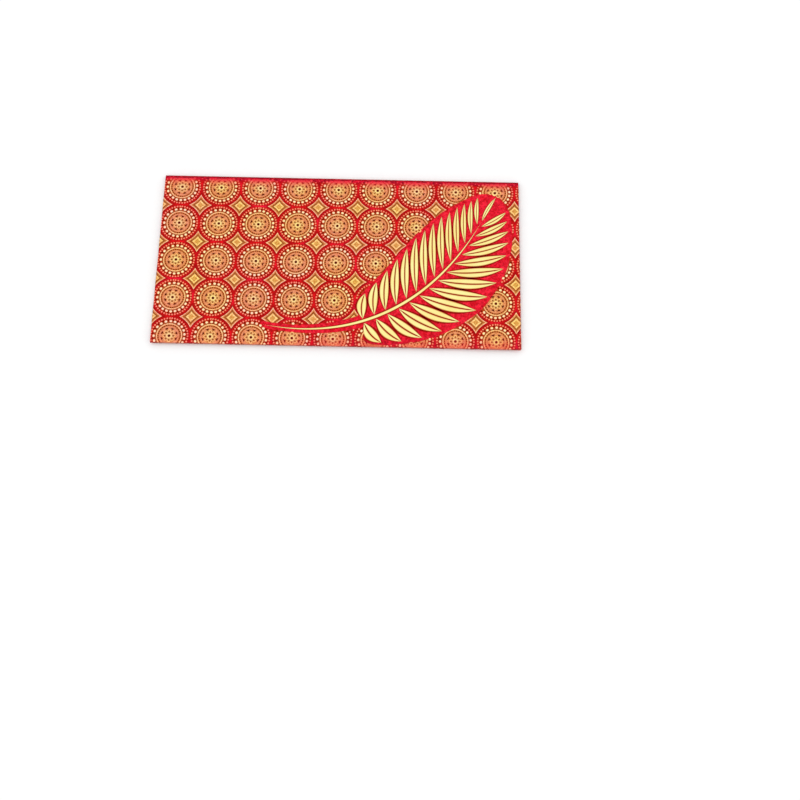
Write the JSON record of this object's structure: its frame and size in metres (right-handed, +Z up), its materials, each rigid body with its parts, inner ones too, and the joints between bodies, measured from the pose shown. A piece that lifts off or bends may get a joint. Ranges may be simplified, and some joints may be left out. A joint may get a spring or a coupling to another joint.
{
  "type": "gift envelope",
  "caption": "Flat red paper gift envelope: a gold foil patterned front, a glued pocket behind it and a scalloped flap that folds open along the top crease.",
  "frame": {"origin": "under the middle of the closed envelope, on the surface that it lies on, at the flap's outer face", "axes": "+X along the width, to the right on the printed face; +Y towards the flap's fold; +Z up, out of the printed face"},
  "size_m": [0.178, 0.0884, 0.0023],
  "materials": {
    "printed_paper": "coated crimson paper, satin",
    "plain_paper": "uncoated red paper, matt",
    "gold_foil": "hot stamped gold foil",
    "dried_glue": "dried white glue"
  },
  "bodies": {
    "pocket": {"front_panel": "printed_paper", "left_fold": "printed_paper", "right_fold": "printed_paper", "bottom_fold": "printed_paper", "back_panel": "plain_paper", "left_side_flap": "plain_paper", "right_side_flap": "plain_paper", "top_fold": "plain_paper", "left_glue_strip": "dried_glue", "right_glue_strip": "dried_glue", "medallion_rims": "gold_foil", "medallion_rosettes": "gold_foil", "lattice_diamonds": "gold_foil", "frond_leaflets": "gold_foil", "frond_stem": "gold_foil"},
    "flap": {"closure_flap": "plain_paper"}
  },
  "joints": [
    {"name": "flap_hinge", "type": "hinge", "parent": "pocket", "child": "flap", "pos_m": [0, 0.04311, 0.00114], "axis": [1, 0, 0], "range_deg": [0, 180], "deforming": ["top_fold"]}
  ]
}
